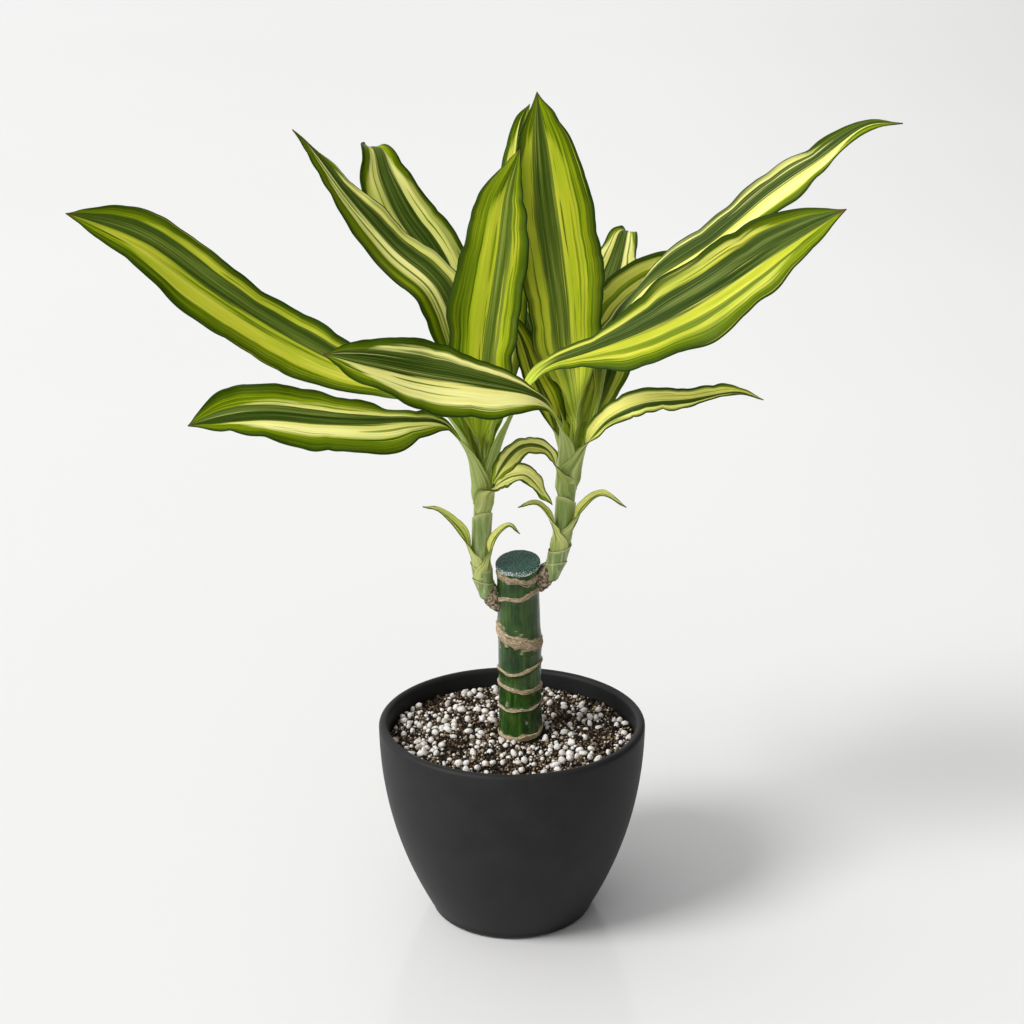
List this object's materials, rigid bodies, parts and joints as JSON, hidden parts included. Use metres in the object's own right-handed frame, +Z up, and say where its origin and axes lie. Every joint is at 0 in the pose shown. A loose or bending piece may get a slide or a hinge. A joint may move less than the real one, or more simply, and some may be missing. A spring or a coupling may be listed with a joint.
{
  "type": "potted corn plant",
  "caption": "Striped corn plant in a matte round pot: a short cut cane in soil, with leafy shoots on both sides; stands on the pot's flat foot.",
  "frame": {"origin": "centre of the pot's flat foot, on the surface it stands on", "axes": "+Z up along the pot's axis, +X to the side of the long right-hand leaves, -Y towards the front"},
  "size_m": [0.4048, 0.1767, 0.4311],
  "materials": {
    "pot": "matte",
    "potting_mix": "matte",
    "cane_bark": "satin",
    "cut_wax": "satin",
    "bud_collar": "matte",
    "shoot_sheath": "satin",
    "leaf": "satin"
  },
  "bodies": {
    "root": {"pot": "pot", "soil": "potting_mix", "cane": "cane_bark", "wax_cap": "cut_wax", "bud_collar_left": "bud_collar", "bud_collar_right": "bud_collar", "clasping_leaf_left": "leaf", "clasping_leaf_right": "leaf", "leaf_arching_right": "leaf", "leaf_back_left": "leaf", "leaf_back_right": "leaf", "leaf_bent_left": "leaf", "leaf_broad_right": "leaf", "leaf_front_left": "leaf", "leaf_inner_back": "leaf", "leaf_inner_left": "leaf", "leaf_long_left": "leaf", "leaf_long_right": "leaf", "leaf_low_left": "leaf", "leaf_mid_right": "leaf", "leaf_tall_centre": "leaf", "leaf_upper_left": "leaf", "leaf_upright_left": "leaf", "shoot_left": "shoot_sheath", "shoot_right": "shoot_sheath", "small_leaf_left_inner": "leaf", "small_leaf_left_outer": "leaf", "small_leaf_right_back": "leaf", "small_leaf_right_inner": "leaf", "small_leaf_right_outer": "leaf"}
  },
  "joints": []
}
